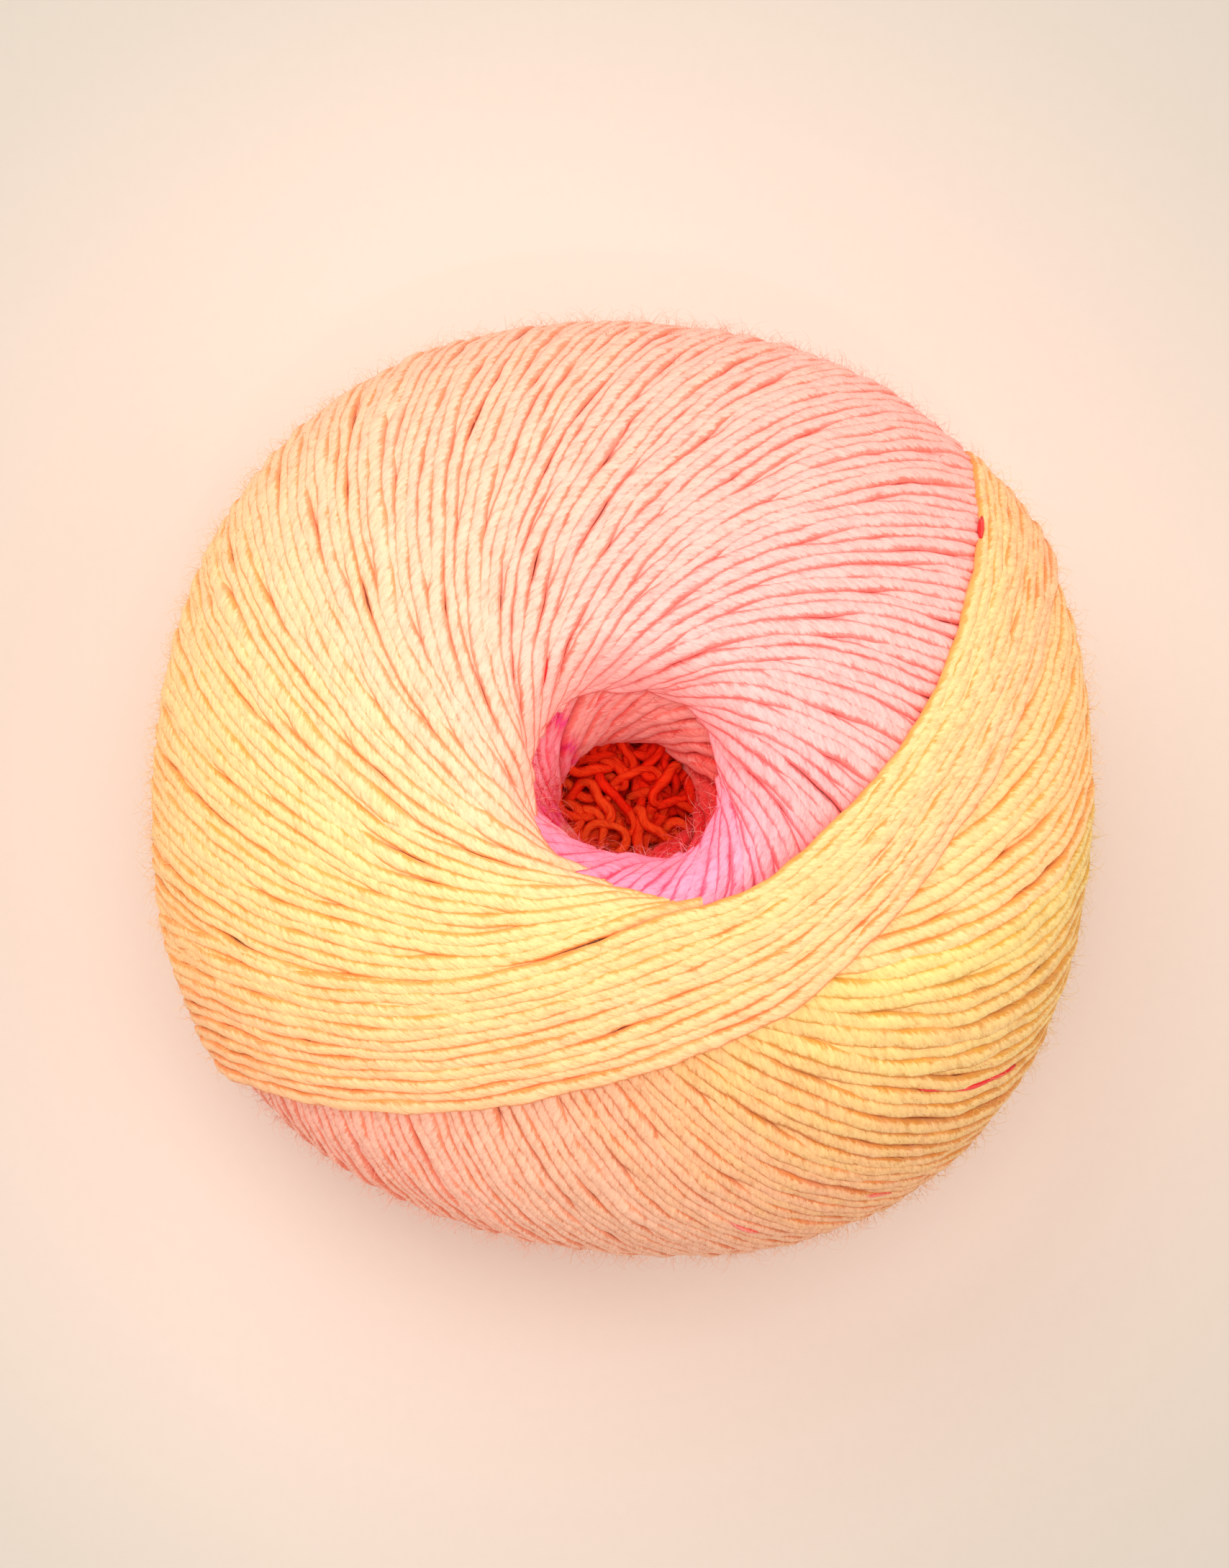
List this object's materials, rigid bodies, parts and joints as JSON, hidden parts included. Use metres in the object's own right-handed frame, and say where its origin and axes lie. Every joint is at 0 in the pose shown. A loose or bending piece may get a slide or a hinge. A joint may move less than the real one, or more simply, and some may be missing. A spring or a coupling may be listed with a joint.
{
  "type": "yarn ball",
  "caption": "Machine-wound ball of soft single-ply gradient yarn, yellow to peach, salmon and pink, with a rust-orange centre-pull hole.",
  "frame": {"origin": "middle of the flat spot that the ball stands on, under its winding axis", "axes": "+Z up along the winding axis and out of the centre-pull hole, +X to the right and +Y up in a view from above in which the last wrap crosses below the hole from the lower left to the upper right"},
  "size_m": [0.1114, 0.1088, 0.0868],
  "materials": {
    "wound_yarn": "soft, matte single-ply wool, dyed in a long gradient: yellow, peach, salmon, pink",
    "inner_yarn": "soft, matte single-ply wool, rust-orange"
  },
  "bodies": {
    "root": {"wound_ball": "wound_yarn", "tangled_start": "inner_yarn"}
  },
  "joints": []
}
